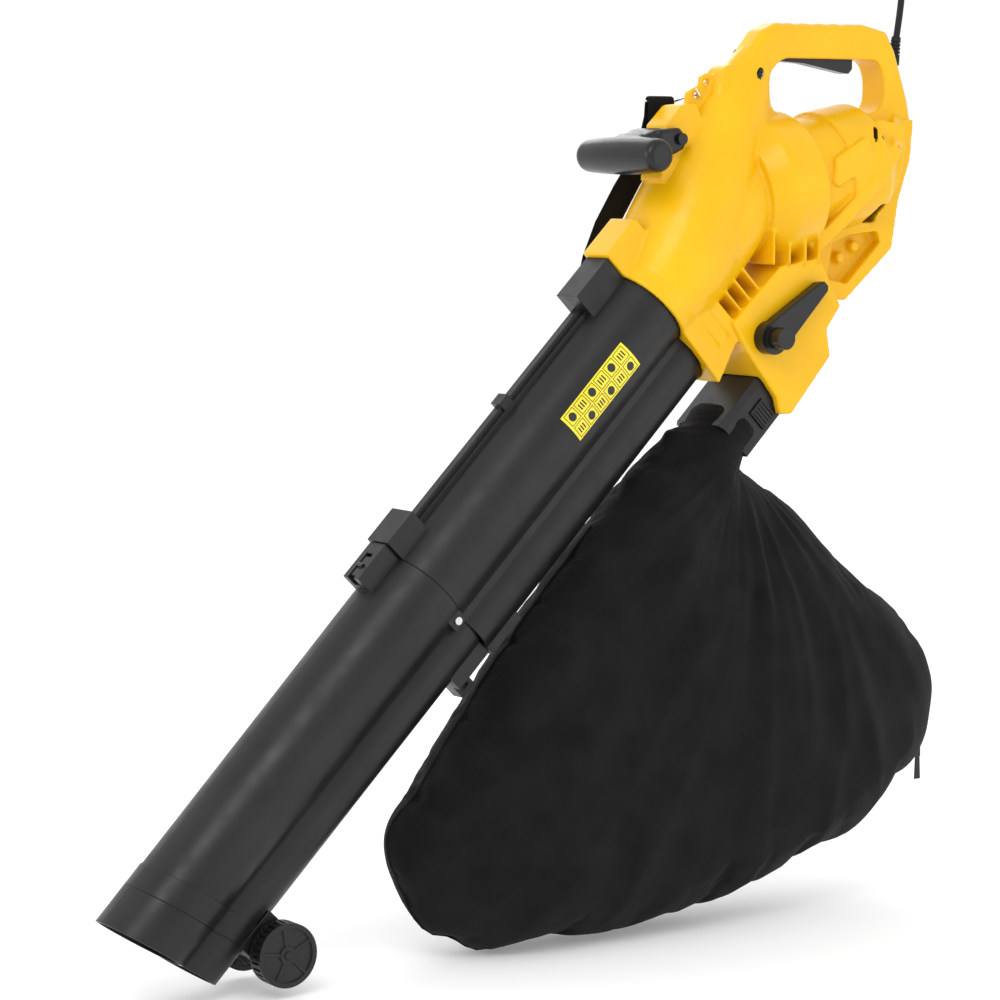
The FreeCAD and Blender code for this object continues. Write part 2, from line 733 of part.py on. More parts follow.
def make_controls():
    trigger = prism([(450, 536), (451, 531), (484, 529), (536, 520), (545, 519), (550, 524),
                     (550, 543), (466, 543)], 8, 1.2)
    pin_hole = across(2.05, TRIGGER_PIN, 20)
    solid("trigger", trigger.cut(pin_hole), JOINT_FRAME)
    solid("trigger_pin", across(2, TRIGGER_PIN, size("grip_half_width") - size("housing_wall")),
          JOINT_FRAME)
    keep("power_switch", block("switch_box", (474, 512), (-8, 8), (549, 562)), JOINT_FRAME)
    dial = Part.makeCylinder(15.5, 6, DIAL_MIDDLE - DIAL_AXIS * 3, DIAL_AXIS)
    for turn in range(20):
        notch = slab((14.7, 17), (-0.7, 0.7), (-4, 4))
        notch = turned(notch, Placement(Vector(), Rotation(Z, 18 * turn)))
        dial = dial.cut(turned(notch, Placement(DIAL_MIDDLE, Rotation(Z, DIAL_AXIS))))
    dial = dial.cut(Part.makeCylinder(2.05, 20, DIAL_MIDDLE - DIAL_AXIS * 10, DIAL_AXIS))
    solid("speed_dial", dial, JOINT_FRAME)
    post = Part.makeCylinder(2, 13, DIAL_MIDDLE - DIAL_AXIS * 3, DIAL_AXIS)
    box = slab((-8, 8), (-6, 14), (4.2, 12))
    box = turned(box, Placement(DIAL_MIDDLE, Rotation(Z, DIAL_AXIS)))
    solid("speed_control", box.fuse(post), JOINT_FRAME)

    pivot = Vector(SELECTOR_PIVOT[0], 0, SELECTOR_PIVOT[1])
    face = size("selector_half_width")
    base = Part.makeCylinder(17.5, 14, pivot - Y * (face + 0.4), -Y)
    cap = Part.makeCylinder(11.5, 33, pivot - Y * (face + 0.4), -Y)
    lever = prism([(0, -16), (20, -15), (84, -7), (88, -3), (87, 4), (82, 7), (14, 16), (0, 17)],
                  7, 2)
    lever = turned(lever, Placement(pivot - Y * (face + 10), Rotation(Y, 6)))
    solid("selector_lever", joined([base, cap, lever]).cut(across(5, pivot, face + 12)),
          TUBE_FRAME)
    shaft = Part.makeCylinder(5, 2 * face + 8, pivot - Y * (face + 11), Y)
    solid("selector_shaft", shaft, TUBE_FRAME)
    flap = prism([(5, -2), (60, -1.5), (60, 1.5), (5, 2)], face - 4)
    sleeve = across(8, Vector(), face - 4)
    flap = turned(flap.fuse(sleeve), Placement(pivot, Rotation(Y, -18)))
    solid("air_flap", flap.cut(across(5, pivot, face)), TUBE_FRAME)


def make_screws():
    """The screws that hold the two housing halves, their heads on the right side."""
    screws = []
    for x, z in HOUSING_SCREWS:
        head = Part.makeCylinder(3.6, 2.6, Vector(x, 13, z), Y)
        screws.append(head.fuse(Part.makeCylinder(1.9, 24, Vector(x, 13, z), -Y)))
    thing = doc.addObject("Part::Feature", "housing_screws_form")
    thing.Shape = Part.makeCompound(screws)
    keep("housing_screws", thing, JOINT_FRAME)


# ---------------------------------------------------------------- front handle


def make_front_handle():
    bar_middle = Vector(251, 0, 431)
    half_bar = size("bar_length") / 2
    bar = across(size("bar_radius"), bar_middle, half_bar)
    rims = [edge for edge in bar.Edges if abs(abs(edge.CenterOfMass.y) - half_bar) < 1e-6]
    bar = bar.makeFillet(7, rims)
    arm = prism([(251, 417), (270, 421), (284, 432), (284, 460), (266, 454), (251, 447)], 24, 5)
    fork = prism([(276, 430), (298, 432), (311, 438), (313, 451), (304, 460), (276, 458)], 27, 4)
    fork = fork.cut(prism([(281, 380), (281, 500), (340, 500), (340, 380)], 18.4))
    shape = joined([bar, arm, fork]).cut(across(3.1, HANDLE_PIVOT, 40))
    solid("front_handle", shape, JOINT_FRAME)
    bolt = across(3, HANDLE_PIVOT, 27.2).fuse(Part.makeCylinder(6, 4, HANDLE_PIVOT - Y * 27.2, -Y))
    solid("handle_bolt", bolt.fuse(Part.makeCylinder(6, 4, HANDLE_PIVOT + Y * 27.2, Y)),
          JOINT_FRAME)


# ---------------------------------------------------------------- bag and its port


def port_section(along, inset):
    """A closed rectangle across the port, in the tube frame."""
    half_width = size("port_half_width") - inset
    low, high = -189 + inset, -189 + size("port_height") - inset
    slope = 6
    corners = [Vector(along, y, z) for y, z in (
        (-half_width, low), (half_width, low), (half_width, high - slope),
        (half_width - slope, high), (slope - half_width, high), (-half_width, high - slope))]
    return Part.makePolygon(corners + corners[:1])


def make_port():
    wall = size("port_wall")
    outer = Part.makeLoft([port_section(352, 0), port_section(432, 0)], True, True)
    inner = Part.makeLoft([port_section(350, wall), port_section(434, wall)], True, True)
    window = slab((386, 408), (-50, -35), (-184, -158))
    solid("bag_port", outer.cut(inner).cut(window), TUBE_FRAME)
    button = slab((386.4, 407.6), (-44.4, -39.8), (-183.6, -158.4))
    for row in range(5):
        groove = slab((388 + 4 * row, 389.4 + 4 * row), (-45, -43.2), (-182, -160))
        button = button.cut(groove)
    solid("port_latch", button, TUBE_FRAME)


BAG_EDGE = [(418, 92), (466, 60), (506, 28), (560, -20), (620, -70), (660, -130), (672, -165),
            (662, -222), (618, -266), (540, -316), (440, -354), (330, -377), (200, -384),
            (90, -377), (20, -352), (-26, -300), (-36, -250), (-10, -205), (60, -112),
            (110, -50), (190, 34), (285, 124), (335, 150)]


def bag_section(scale, y):
    middle = Vector(320, y, -160)
    points = [middle + (Vector(x, y, z) - middle) * scale for x, z in BAG_EDGE]
    curve = Part.BSplineCurve()
    curve.interpolate(points, PeriodicFlag=True)
    return Part.Wire([curve.toShape()])


def bag_form(inset):
    """The filled bag: flat pillow sections, and a neck that goes over the port."""
    half = size("bag_half_width") - inset
    levels = [(-1, 0.35), (-0.84, 0.66), (-0.5, 0.88), (0, 1.0), (0.5, 0.88), (0.84, 0.66),
              (1, 0.35)]
    shrink = inset / 200
    pillow = loft([bag_section(scale - shrink, half * share) for share, scale in levels])
    around = size("port_half_width") + 3.5 - inset
    neck_wires = []
    for along, up, wide, high in ((371, -165, around, 28.5), (335, -172, around + 6, 34),
                                  (285, -215, around + 12, 52)):
        neck_wires.append(oval(on_tube(along, up), TUBE_AXIS, wide * 1.12 - inset, high * 1.25
                               - inset))
    return pillow.fuse(loft(neck_wires))


def make_bag():
    wall = size("bag_wall")
    port = turned(Part.makeLoft([port_section(340, -0.3), port_section(420, -0.3)], True, True),
                  TUBE_TURN)
    bag = bag_form(0).cut(bag_form(wall)).cut(port).cut(slab((655, 664), (-4, 4), (-240, -226)))
    solid("bag", max(bag.Solids, key=lambda part: part.Volume), JOINT_FRAME)
    keep("zip_slider", block("slider", (655, 664), (-4, 4), (-240, -226)), JOINT_FRAME)
    pull = prism([(660, -241), (666, -241), (667, -266), (659, -266)], 0.8)
    solid("zip_pull", pull, JOINT_FRAME)


# ---------------------------------------------------------------- strap


def wire(points, radius):
    """A bent round wire: straight runs with a ball at each bend."""
    parts = []
    for first, second in zip(points, points[1:]):
        run = second - first
        parts.append(Part.makeCylinder(radius, run.Length, first, run))
    parts += [Part.makeSphere(radius, point) for point in points[1:-1]]
    return joined(parts)


def strap_section(centre, along, wide):
    """A rectangle across the webbing, its width along X."""
    side = X * (wide / 2)
    out = Vector(0, -along.z, along.y).normalize() * (size("webbing_thickness") / 2)
    corners = [centre + side + out, centre - side + out, centre - side - out, centre + side - out]
    return Part.makePolygon(corners + corners[:1])


def make_strap():
    hook = wire([Vector(298, 27, 488), Vector(337, 27, 488), Vector(343, 10, 494),
                 Vector(343, -7, 494), Vector(338, -8, 500)], 1.4)
    solid("strap_hook", hook, JOINT_FRAME)
    wide = size("webbing_width") - 5
    route = [Vector(318, 31, 500), Vector(317, 32, 478), Vector(315, 35, 455), Vector(308, 40, 432),
             Vector(296, 56, 400), Vector(282, 70, 362), Vector(272, 79, 325), Vector(266, 83, 290),
             Vector(262, 83, 250), Vector(260, 83, 200), Vector(259, 83, 150)]
    wires = []
    for index, point in enumerate(route):
        before, after = route[max(index - 1, 0)], route[min(index + 1, len(route) - 1)]
        wires.append(strap_section(point, (after - before).normalize(), wide))
    solid("shoulder_strap", Part.makeLoft(wires, True, True), JOINT_FRAME)


# ---------------------------------------------------------------- cord

CORD_ROUTE = [CORD_EXIT, Vector(624, 0, 590), Vector(626, -1, 622), Vector(631, -2, 654),
              Vector(644, -4, 684), Vector(669, -7, 706), Vector(704, -11, 713),
              Vector(739, -15, 702), Vector(764, -18, 675), Vector(777, -20, 640),
              Vector(781, -21, 604), Vector(782, -21, 568)]


def rounded_path(points):
    """Straight runs joined by tangent arcs, each as large as its two runs allow."""
    edges, here = [], points[0]
    for before, corner, after in zip(points, points[1:], points[2:]):
        back, on = before - corner, after - corner
        half_turn = (math.pi - back.getAngle(on)) / 2
        reach = 0.45 * min(back.Length, on.Length)
        start = corner + back.normalize() * reach
        end = corner + on.normalize() * reach
        radius = reach / math.tan(half_turn)
        inward = (back + on).normalize()
        middle = corner + inward * (radius / math.cos(half_turn) - radius)
        edges.append(Part.LineSegment(here, start).toShape())
        edges.append(Part.Arc(start, middle, end).toShape())
        here = end
    edges.append(Part.LineSegment(here, points[-1]).toShape())
    return Part.Wire(edges)


def make_cord():
    radius = size("cord_radius")
    path = rounded_path(CORD_ROUTE)
    heading = CORD_ROUTE[1] - CORD_ROUTE[0]
    ring = Part.Wire([Part.makeCircle(radius, CORD_ROUTE[0], heading)])
    tube = path.makePipeShell([ring], True, True)
    print("cord", round(path.Length, 1), "mm, volume ratio",
          round(tube.Volume / (math.pi * radius ** 2 * path.Length), 4))
    solid("power_cord", tube, JOINT_FRAME)
    boot = cord_boot()
    for row in range(4):
        at = CORD_EXIT - CORD_HEADING * (19 - 4 * row)
        boot = boot.cut(Part.makeCylinder(9, 1.6, at, CORD_HEADING).cut(
            Part.makeCylinder(4.6, 1.6, at, CORD_HEADING)))
    solid("strain_relief", boot, JOINT_FRAME)
    top = CORD_ROUTE[-1]
    down = (CORD_ROUTE[-1] - CORD_ROUTE[-2]).normalize()
    body = Part.makeCone(5.5, 9, 16, top, down).fuse(
        Part.makeCone(9, 17.5, 10, top + down * 16, down)).fuse(
        Part.makeCylinder(17.5, 16, top + down * 26, down))
    solid("plug", body, JOINT_FRAME)
    square = Vector(-down.z, 0, down.x).normalize()
    pins = [Part.makeCylinder(2.4, 19, top + down * 42 + square * side, down)
            for side in (-9.5, 9.5)]
    thing = doc.addObject("Part::Feature", "plug_pins_form")
    thing.Shape = Part.makeCompound(pins)
    keep("plug_pins", thing, JOINT_FRAME)


# ---------------------------------------------------------------- assembly

solid("lower_tube", lower_tube(), TUBE_FRAME)
whole = upper_tube()
solid("upper_tube_left", half(whole, -1), TUBE_FRAME)
solid("upper_tube_right", half(whole, 1), TUBE_FRAME)
solid("safety_label", safety_label(), TUBE_FRAME)
make_wheels()
make_joint_parts()
whole = housing()
solid("housing_left", half(whole, -1), JOINT_FRAME)
solid("housing_right", half(whole, 1), JOINT_FRAME)
make_rotor()
make_motor()
make_controls()
make_screws()
make_front_handle()
make_port()
make_bag()
make_strap()
make_cord()

# ---------------------------------------------------------------- checks and files

doc.recompute()
for thing in doc.Objects:
    if "Invalid" in thing.State or "Error" in thing.State:
        raise RuntimeError(f"{thing.Name} has failed: {thing.State}")
os.makedirs("parts", exist_ok=True)
for thing in pieces:
    shape = thing.Shape
    if shape.isNull() or not shape.isValid():
        raise RuntimeError(f"{thing.Label} is not a valid shape")
    print(thing.Label, len(shape.Solids), round(shape.Volume / 1000, 1), "cm3")
    shape.exportStep(f"parts/{thing.Label}.step")
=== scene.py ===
"""Looks of the garden blower vacuum: materials, soft parts, fine shapes, light and camera."""

import json
import math

import bmesh
import bpy
from mathutils import Matrix, Vector, noise
from mathutils.bvhtree import BVHTree


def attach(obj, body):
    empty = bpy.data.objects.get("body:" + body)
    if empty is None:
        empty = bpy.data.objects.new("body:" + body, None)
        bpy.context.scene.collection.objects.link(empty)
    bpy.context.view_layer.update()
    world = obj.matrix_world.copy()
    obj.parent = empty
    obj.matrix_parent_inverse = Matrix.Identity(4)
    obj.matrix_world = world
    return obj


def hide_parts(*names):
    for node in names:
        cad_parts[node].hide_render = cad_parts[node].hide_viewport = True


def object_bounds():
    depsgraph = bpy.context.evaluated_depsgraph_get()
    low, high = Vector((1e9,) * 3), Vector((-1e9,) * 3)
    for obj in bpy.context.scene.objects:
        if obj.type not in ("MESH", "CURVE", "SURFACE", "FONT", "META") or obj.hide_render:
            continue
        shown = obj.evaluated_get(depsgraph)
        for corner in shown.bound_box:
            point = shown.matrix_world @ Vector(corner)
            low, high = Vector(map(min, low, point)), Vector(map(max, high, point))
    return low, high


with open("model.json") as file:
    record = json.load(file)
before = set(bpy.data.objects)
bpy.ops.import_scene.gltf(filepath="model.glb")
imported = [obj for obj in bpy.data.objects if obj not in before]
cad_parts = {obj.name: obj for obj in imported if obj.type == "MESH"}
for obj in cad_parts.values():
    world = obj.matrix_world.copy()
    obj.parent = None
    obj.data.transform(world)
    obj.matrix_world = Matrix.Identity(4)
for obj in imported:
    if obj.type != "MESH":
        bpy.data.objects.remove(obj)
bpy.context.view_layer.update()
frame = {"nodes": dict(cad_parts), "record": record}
nodes = frame["nodes"]
scene = bpy.context.scene

MM = 0.001
GRIP_MIDDLE = Vector((500, 0, 551))
X, Y, Z = Vector((1, 0, 0)), Vector((0, 1, 0)), Vector((0, 0, 1))
TUBE_AXIS = Vector((1, 0, 1)).normalized()
TUBE_NORMAL = Vector((-1, 0, 1)).normalized()
FAN_TILT = math.radians(11)
FAN_AXIS = Vector((math.cos(FAN_TILT), 0, math.sin(FAN_TILT)))
FAN_MIDDLE = Vector((430, 0, 397))


def at(x, y, z):
    """A point of the drawing, in millimetres from the tubes' joint, as a place in the row frame."""
    return (Vector((x, y, z)) - GRIP_MIDDLE) * MM


def on_tube(along, y, up):
    """A point given along and square to the big tube's axis."""
    return at(*(TUBE_AXIS * along + Y * y + TUBE_NORMAL * up))


# ---------------------------------------------------------------- camera


def make_camera():
    """A long lens that looks at the machine's left side from ahead of it."""
    camera = bpy.data.objects.new("camera", bpy.data.cameras.new("camera"))
    scene.collection.objects.link(camera)
    camera.data.lens = 115.2
    camera.data.sensor_width = 36
    camera.location = (-2.21203, -2.68157, -0.12831)
    heading = Vector((-0.40329, 0, -0.46827)) - camera.location
    camera.rotation_euler = heading.to_track_quat("-Z", "Y").to_euler()
    camera.data.clip_end = 100
    scene.camera = camera


# ---------------------------------------------------------------- pieces


def add_piece(name, mesh, material, body, replaced=()):
    """A finished mesh as a piece that rides on a body."""
    piece = bpy.data.objects.new(name, mesh)
    scene.collection.objects.link(piece)
    if not mesh.materials:
        mesh.materials.append(material)
    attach(piece, body)
    if replaced:
        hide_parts(*replaced)
    return piece


def smooth(mesh, degrees=None):
    mesh.polygons.foreach_set("use_smooth", [True] * len(mesh.polygons))
    if degrees is not None:
        mesh.set_sharp_from_angle(angle=math.radians(degrees))


def mesh_from(name, make):
    """A mesh whose bmesh is filled by make(bm)."""
    bm = bmesh.new()
    make(bm)
    bmesh.ops.recalc_face_normals(bm, faces=bm.faces)
    mesh = bpy.data.meshes.new(name)
    bm.to_mesh(mesh)
    bm.free()
    return mesh


def add_rings(bm, rings, closed=True, caps=True):
    """Skins rings of points with quads; each ring is closed unless told otherwise."""
    rows = [[bm.verts.new(point) for point in ring] for ring in rings]
    for first, second in zip(rows, rows[1:]):
        count = len(first)
        for i in range(count if closed else count - 1):
            k = (i + 1) % count
            bm.faces.new((first[i], first[k], second[k], second[i]))
    if caps:
        bm.faces.new(rows[0][::-1])
        bm.faces.new(rows[-1])


def evaluated(piece):
    """The piece's mesh with its modifiers applied, in place of its own."""
    graph = bpy.context.evaluated_depsgraph_get()
    mesh = bpy.data.meshes.new_from_object(piece.evaluated_get(graph))
    piece.modifiers.clear()
    piece.data = mesh
    return mesh


# ---------------------------------------------------------------- materials

BLACK_TINTS = (0.005, 0.005, 0.0055), (0.010, 0.010, 0.011)
GLOSS_TINTS = (0.004, 0.004, 0.0045), (0.008, 0.008, 0.009)
CLOTH_SHINE = 0.16
SHARP_ABOVE = 28  # degrees between two faces that keep a hard edge


def new_material(name, colour, roughness):
    material = bpy.data.materials.new(name)
    material.use_nodes = True
    shader = material.node_tree.nodes["Principled BSDF"]
    shader.inputs["Base Color"].default_value = (*colour, 1)
    shader.inputs["Roughness"].default_value = roughness
    return material, material.node_tree, shader


def node(tree, kind, **values):
    made = tree.nodes.new(kind)
    for key, value in values.items():
        made.inputs[key.replace("_", " ")].default_value = value
    return made


def object_place(tree, scale=(1, 1, 1)):
    """The place in the object's own coordinates, scaled."""
    place = tree.nodes.new("ShaderNodeTexCoord")
    mapping = tree.nodes.new("ShaderNodeMapping")
    mapping.inputs["Scale"].default_value = scale
    tree.links.new(place.outputs["Object"], mapping.inputs["Vector"])
    return mapping.outputs["Vector"]


def noise_at(tree, place, scale, detail=4):
    made = node(tree, "ShaderNodeTexNoise", Scale=scale, Detail=detail)
    tree.links.new(place, made.inputs["Vector"])
    return made.outputs["Fac"]


def spread(tree, value, low, high, start=0.3, end=0.7):
    """Maps a noise value to a range of numbers."""
    made = node(tree, "ShaderNodeMapRange", From_Min=start, From_Max=end, To_Min=low, To_Max=high)
    tree.links.new(value, made.inputs["Value"])
    return made.outputs["Result"]


def tint(tree, value, dark, light):
    """A colour between two, by a value from 0 to 1."""
    made = tree.nodes.new("ShaderNodeValToRGB")
    made.color_ramp.elements[0].color = (*dark, 1)
    made.color_ramp.elements[1].color = (*light, 1)
    tree.links.new(value, made.inputs["Fac"])
    return made.outputs["Color"]


def bump(tree, shader, height, distance, strength=1.0, radius=0.0):
    """Bump from a height, over edges rounded by a small radius."""
    made = node(tree, "ShaderNodeBump", Strength=strength, Distance=distance)
    tree.links.new(height, made.inputs["Height"])
    if radius:
        edge = node(tree, "ShaderNodeBevel", Radius=radius)
        edge.samples = 4
        tree.links.new(edge.outputs["Normal"], made.inputs["Normal"])
    tree.links.new(made.outputs["Normal"], shader.inputs["Normal"])


def moulded(name, dark, light, rough_low, rough_high, grain, coat=0.0, radius=0.0012,
            shine=0.5):
    """Moulded plastic: cloudy colour, handled gloss and a fine grain."""
    material, tree, shader = new_material(name, light, rough_low)
    place = object_place(tree)
    cloud = noise_at(tree, place, 14, 5)
    tree.links.new(tint(tree, spread(tree, cloud, 0, 1), dark, light), shader.inputs["Base Color"])
    wear = noise_at(tree, place, 45, 6)
    tree.links.new(spread(tree, wear, rough_low, rough_high), shader.inputs["Roughness"])
    fine = noise_at(tree, place, grain, 3)
    bump(tree, shader, fine, 0.00012, 0.5, radius)
    shader.inputs["Specular IOR Level"].default_value = shine
    if coat:
        shader.inputs["Coat Weight"].default_value = coat
        shader.inputs["Coat Roughness"].default_value = 0.12
    return material


def metal(name, colour, roughness, grain):
    """Bare metal with a fine drawn grain."""
    material, tree, shader = new_material(name, colour, roughness)
    shader.inputs["Metallic"].default_value = 1.0
    place = object_place(tree, (1, 1, 6))
    streak = noise_at(tree, place, grain, 5)
    tree.links.new(spread(tree, streak, roughness * 0.8, roughness * 1.4),
                   shader.inputs["Roughness"])
    bump(tree, shader, streak, 0.00006, 0.4)
    return material


def cloth(name, dark, light, threads, depth, sheen):
    """Woven cloth: crossing threads, cloudy fading and sheen."""
    material, tree, shader = new_material(name, light, 0.86)
    place = object_place(tree)
    turn = tree.nodes.new("ShaderNodeMapping")
    turn.inputs["Rotation"].default_value = (0, math.radians(38), 0)
    tree.links.new(place, turn.inputs["Vector"])
    heights = []
    for direction in ("X", "Z"):
        wave = node(tree, "ShaderNodeTexWave", Scale=threads, Distortion=1.2, Detail=1.0,
                    Detail_Scale=3.0)
        wave.bands_direction = direction
        tree.links.new(turn.outputs["Vector"], wave.inputs["Vector"])
        heights.append(wave.outputs["Fac"])
    weave = tree.nodes.new("ShaderNodeMath")
    weave.operation = "MULTIPLY"
    for index, height in enumerate(heights):
        tree.links.new(height, weave.inputs[index])
    cloud = noise_at(tree, place, 22, 6)
    both = tree.nodes.new("ShaderNodeMath")
    both.operation = "MULTIPLY_ADD"
    both.inputs[1].default_value = 0.55
    tree.links.new(weave.outputs["Value"], both.inputs[0])
    tree.links.new(spread(tree, cloud, 0, 0.5), both.inputs[2])
    tree.links.new(tint(tree, both.outputs["Value"], dark, light), shader.inputs["Base Color"])
    bump(tree, shader, weave.outputs["Value"], depth, 0.8)
    shader.inputs["Specular IOR Level"].default_value = CLOTH_SHINE
    shader.inputs["Sheen Weight"].default_value = sheen
    shader.inputs["Sheen Roughness"].default_value = 0.45
    return material


YELLOW = moulded("yellow_plastic", (0.76, 0.412, 0.002), (0.83, 0.462, 0.003), 0.24, 0.36, 700,
                 coat=0.08, shine=0.24)
BLACK = moulded("black_plastic", *BLACK_TINTS, 0.30, 0.46, 1500, shine=0.36)
BLACK_GLOSS = moulded("black_gloss", *GLOSS_TINTS, 0.20, 0.34, 900, shine=0.38)
WHITE = moulded("white_plastic", (0.62, 0.62, 0.60), (0.74, 0.74, 0.72), 0.4, 0.5, 900)
RUBBER = moulded("black_rubber", *BLACK_TINTS, 0.5, 0.66, 1200, shine=0.25)
CARBON = moulded("carbon", (0.02, 0.02, 0.02), (0.045, 0.045, 0.045), 0.55, 0.7, 1200)
FILM = moulded("label_film", (0.80, 0.66, 0.01), (0.88, 0.74, 0.015), 0.30, 0.40, 1200,
               coat=0.2, radius=0)
INK = moulded("label_ink", (0.010, 0.010, 0.010), (0.018, 0.018, 0.018), 0.4, 0.5, 1200,
              radius=0)
STEEL = metal("steel", (0.56, 0.56, 0.58), 0.32, 400)
CHROME = metal("chrome", (0.75, 0.75, 0.77), 0.14, 300)
ALUMINIUM = metal("aluminium", (0.68, 0.69, 0.71), 0.38, 300)
COPPER = metal("copper", (0.72, 0.33, 0.16), 0.34, 900)
BRASS = metal("brass", (0.76, 0.56, 0.25), 0.32, 500)
BAG_CLOTH = cloth("bag_cloth", (0.0022, 0.0022, 0.0025), (0.013, 0.013, 0.014), 260, 0.0003, 0.02)
WEBBING = cloth("webbing", (0.0025, 0.0025, 0.0028), (0.012, 0.012, 0.013), 330, 0.0004, 0.03)

SLOT_MATERIALS = {
    "yellow_plastic": YELLOW, "black_plastic": BLACK, "black_gloss": BLACK_GLOSS,
    "white_plastic": WHITE, "steel": STEEL, "chrome": CHROME, "aluminium": ALUMINIUM,
    "copper": COPPER, "carbon": CARBON, "brass": BRASS, "bag_fabric": BAG_CLOTH,
    "webbing": WEBBING, "cord_rubber": RUBBER, "label": FILM,
}


def dress_cad_nodes():
    """Each CAD node gets the material of its slot, and smooth shading between its sharp edges."""
    for part in frame["record"]["subparts"]:
        mesh = nodes[part["node"]].data
        mesh.materials.clear()
        mesh.materials.append(SLOT_MATERIALS[part["material_slot"]])
        smooth(mesh, SHARP_ABOVE)


# ---------------------------------------------------------------- cord

CORD_ROUTE = [(618.5, 0, 560), (624, 0, 590), (626, -1, 622), (631, -2, 654), (644, -4, 684),
              (669, -7, 706), (704, -11, 713), (739, -15, 702), (764, -18, 675), (777, -20, 640),
              (781, -21, 604), (782, -21, 568)]
CORD_DIAMETER = 0.0072


def make_cord():
    """The supply cord: out of the strain relief, over and down to its plug outside the view."""
    curve = bpy.data.curves.new("cord", "CURVE")
    curve.dimensions = "3D"
    curve.bevel_depth = CORD_DIAMETER / 2
    curve.bevel_resolution = 6
    curve.use_fill_caps = True
    spline = curve.splines.new("NURBS")
    spline.points.add(len(CORD_ROUTE) - 1)
    for point, place in zip(spline.points, CORD_ROUTE):
        point.co = (*at(*place), 1)
    spline.order_u = 3
    spline.use_endpoint_u = True
    spline.resolution_u = 10
    curve.materials.append(RUBBER)
    cord = bpy.data.objects.new("cord", curve)
    scene.collection.objects.link(cord)
    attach(cord, "blower")
    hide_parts("power_cord")


# ---------------------------------------------------------------- bag

BAG_EDGE = [(418, 92), (466, 60), (506, 28), (560, -20), (620, -70), (660, -130), (672, -165),
            (662, -222), (618, -266), (540, -316), (440, -354), (330, -377), (200, -384),
            (90, -377), (20, -352), (-26, -300), (-36, -250), (-10, -205), (60, -112),
            (110, -50), (190, 34), (285, 124), (335, 150)]
BAG_MIDDLE = (320, -160)
BAG_HALF = 80
BAG_GROW = 1.0
BAG_LEVELS = [(-1.0, 0.03), (-0.99, 0.2), (-0.96, 0.36), (-0.86, 0.62), (-0.66, 0.81),
              (-0.4, 0.92), (-0.18, 0.975), (0, 1.0), (0.18, 0.975), (0.4, 0.92), (0.66, 0.81),
              (0.86, 0.62), (0.96, 0.36), (0.99, 0.2), (1.0, 0.03)]
BAG_PORT = (392, 0, 146)  # the end of the port that the folds run away from
VOXEL = 0.0048
PRESSURE = 4
SETTLING_FRAMES = 20
HELD_WITHIN = 0.09  # metres from the port's end where the cloth can't move
SWELL_LIMIT = 0.013


def rounded_loop(corners, steps):
    """Points of a closed smooth line through the corners."""
    points = []
    count = len(corners)
    for i in range(count):
        a, b, c, d = (Vector(corners[(i + k) % count]) for k in (-1, 0, 1, 2))
        for step in range(steps):
            t = step / steps
            points.append(0.5 * ((2 * b) + (c - a) * t + (2 * a - 5 * b + 4 * c - d) * t * t
                                 + (3 * b - a - 3 * c + d) * t ** 3))
    return points


def fill_bag(bm):
    """The pillow of the bag and the sleeve that holds it to the port, as two closed forms."""
    outline = rounded_loop(BAG_EDGE, 8)
    middle = Vector(BAG_MIDDLE)
    rings = []
    for share, scale in BAG_LEVELS:
        ring = [middle + (point - middle) * (scale * BAG_GROW) for point in outline]
        rings.append([at(point.x, BAG_HALF * share, point.y) for point in ring])
    add_rings(bm, rings)
    sleeve = []
    for along, up, wide, high in ((383, -165, 47, 30), (374, -165, 50, 33), (356, -167, 48, 33),
                                  (330, -173, 52, 40), (300, -195, 60, 54), (270, -230, 60, 60)):
        sleeve.append([on_tube(along, wide * math.cos(turn), up + high * math.sin(turn))
                       for turn in (math.tau * i / 48 for i in range(48))])
    add_rings(bm, sleeve)


def crease(place):
    """How far the cloth stands out in long folds that run away from the port, in metres."""
    away = place - at(*BAG_PORT)
    reach = away.length
    turn = math.atan2(away.z, away.x)
    fold = noise.noise(Vector((turn * 5.5, reach * 4.0, place.y * 5 + 3.1)))
    fine = noise.noise(Vector((turn * 13.0, reach * 9.0, place.y * 9 + 7.7)))
    sag = noise.noise(Vector((place.x * 11, place.y * 8, place.z * 13 + 1.7)))
    near = min(1.0, reach / 0.20)
    gather = math.exp(-((reach - 0.15) / 0.07) ** 2)
    pleat = noise.noise(Vector((turn * 17.0, reach * 3.0, place.y * 22 + 11.3)))
    return (near * (0.0062 * (1 - 2.4 * abs(fold)) + 0.0026 * fine + 0.0042 * sag)
            + 0.0055 * gather * pleat - 0.003)


